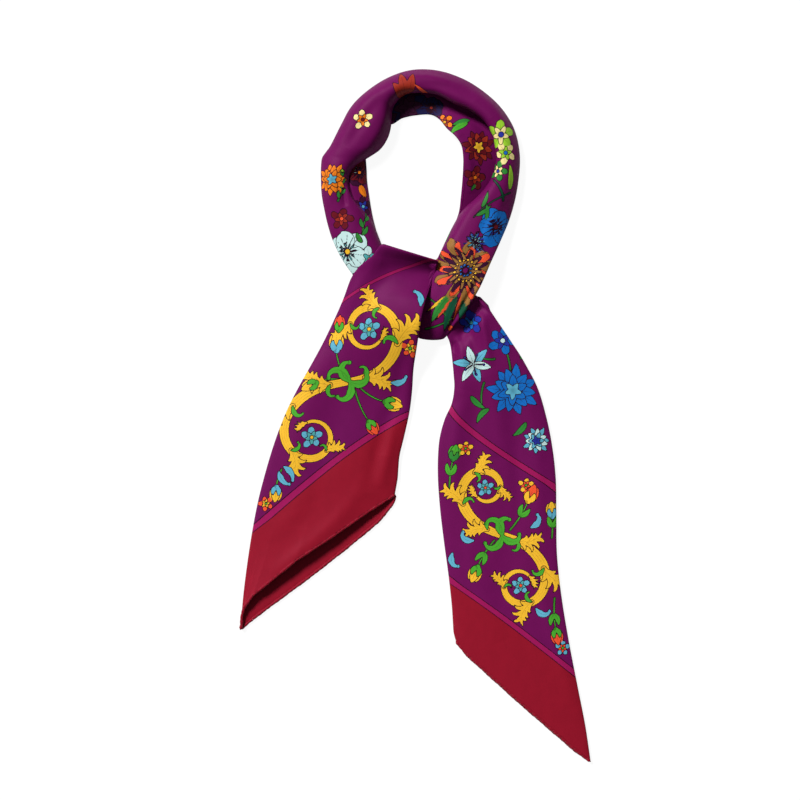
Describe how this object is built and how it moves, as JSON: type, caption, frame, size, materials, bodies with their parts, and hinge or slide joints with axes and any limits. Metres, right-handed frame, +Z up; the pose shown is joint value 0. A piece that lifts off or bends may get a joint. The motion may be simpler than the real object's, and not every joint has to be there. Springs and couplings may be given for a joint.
{
  "type": "silk square scarf tied in a half knot",
  "caption": "Printed silk square folded on the bias, tied in a half knot and laid flat: a soft neck loop and two pointed tails with rolled hems",
  "frame": {"origin": "on the table, under the middle of the laid scarf", "axes": "+X to the right of the scarf as it lies, +Y towards the top of the neck loop, +Z up from the table"},
  "size_m": [0.267, 0.5289, 0.027],
  "materials": {
    "printed_silk": "purple silk twill, soft sheen, printed",
    "rolled_hem": "crimson silk twill, hand-rolled and whipped"
  },
  "bodies": {
    "root": {"neck_roll": "printed_silk", "neck_fold_right": "printed_silk", "left_roll": "printed_silk", "neck_fold_left": "printed_silk", "knot_pass": "printed_silk", "knot_wrap": "printed_silk", "left_tail_front": "printed_silk", "left_tail_back": "printed_silk", "right_tail_front": "printed_silk", "right_tail_back": "printed_silk", "left_tail_hem_front": "rolled_hem", "left_tail_hem_back": "rolled_hem", "right_tail_hem_front": "rolled_hem", "right_tail_hem_back": "rolled_hem"}
  },
  "joints": []
}
